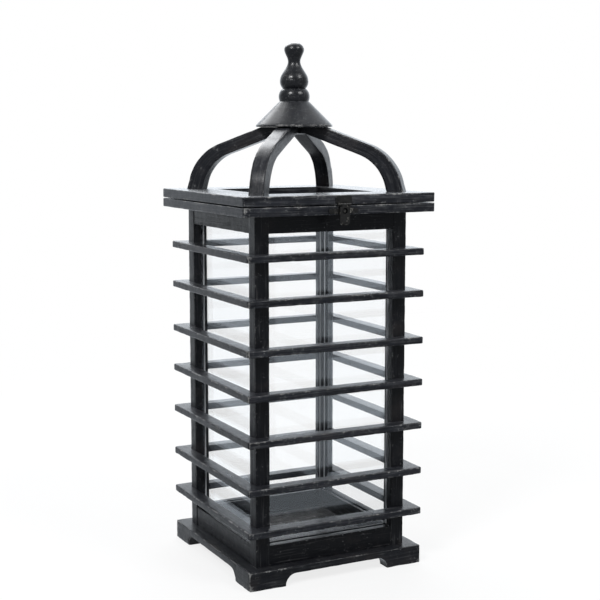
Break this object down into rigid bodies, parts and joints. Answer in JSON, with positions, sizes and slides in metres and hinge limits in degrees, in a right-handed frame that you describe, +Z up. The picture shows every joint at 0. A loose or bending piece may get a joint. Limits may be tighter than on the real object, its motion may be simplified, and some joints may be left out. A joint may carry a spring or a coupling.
{
  "type": "candle lantern",
  "caption": "Tall square wooden candle lantern with glass sides, rings of slats, and a hinged roof of bent arms under a turned cap and finial.",
  "frame": {"origin": "centre of the square base on the surface it stands on", "axes": "+Z up; -Y is the front, where the latch is; +Y is the back, where the roof hinges; +X is to the right seen from the front"},
  "size_m": [0.217, 0.227, 0.552],
  "materials": {
    "stained_wood": "near-black stain, worn at the edges",
    "turned_wood": "near-black stain under gloss varnish",
    "clear_glass": "clear sheet",
    "pale_strip": "bare pale strip",
    "aged_bronze": "dark aged bronze with bright worn spots",
    "dark_steel": "dull dark steel"
  },
  "bodies": {
    "case": {"plinth_front": "stained_wood", "bottom_rail_front": "stained_wood", "top_rail_front": "stained_wood", "pane_front": "clear_glass", "top_frame_front": "stained_wood", "plinth_right": "stained_wood", "bottom_rail_right": "stained_wood", "top_rail_right": "stained_wood", "pane_right": "clear_glass", "top_frame_right": "stained_wood", "plinth_back": "stained_wood", "bottom_rail_back": "stained_wood", "top_rail_back": "stained_wood", "pane_back": "clear_glass", "top_frame_back": "stained_wood", "plinth_left": "stained_wood", "bottom_rail_left": "stained_wood", "top_rail_left": "stained_wood", "pane_left": "clear_glass", "top_frame_left": "stained_wood", "floor_board": "stained_wood", "post_front_left": "stained_wood", "post_front_right": "stained_wood", "post_back_right": "stained_wood", "post_back_left": "stained_wood", "glazing_strips": "pale_strip", "slat_ring_1": "stained_wood", "slat_ring_2": "stained_wood", "slat_ring_3": "stained_wood", "slat_ring_4": "stained_wood", "slat_ring_5": "stained_wood", "slat_ring_6": "stained_wood", "slat_ring_7": "stained_wood", "slat_nails": "dark_steel", "plinth_nails": "dark_steel", "hinge_lower_leaf_left": "aged_bronze", "hinge_lower_leaf_right": "aged_bronze", "hinge_pins": "dark_steel", "hinge_lower_screws": "aged_bronze", "latch_catch": "aged_bronze", "latch_catch_nails": "aged_bronze"},
    "roof": {"lid_rail_front": "stained_wood", "lid_rail_right": "stained_wood", "lid_rail_back": "stained_wood", "lid_rail_left": "stained_wood", "arm_front_left": "stained_wood", "arm_front_right": "stained_wood", "arm_back_right": "stained_wood", "arm_back_left": "stained_wood", "cap": "turned_wood", "finial": "turned_wood", "arm_screws": "dark_steel", "hinge_upper_leaf_left": "aged_bronze", "hinge_upper_leaf_right": "aged_bronze", "hinge_upper_screws": "aged_bronze", "latch_plate": "aged_bronze", "latch_pin": "dark_steel", "latch_plate_nails": "aged_bronze"},
    "hasp": {"latch_hasp": "aged_bronze"}
  },
  "joints": [
    {"name": "roof_hinge", "type": "hinge", "parent": "case", "child": "roof", "pos_m": [0, 0.1107, 0.3864], "axis": [-1, 0, 0], "range_deg": [0, 110]},
    {"name": "hasp_swing", "type": "hinge", "parent": "roof", "child": "hasp", "pos_m": [0, -0.1105, 0.3871], "axis": [-1, 0, 0], "range_deg": [0, 150]}
  ]
}
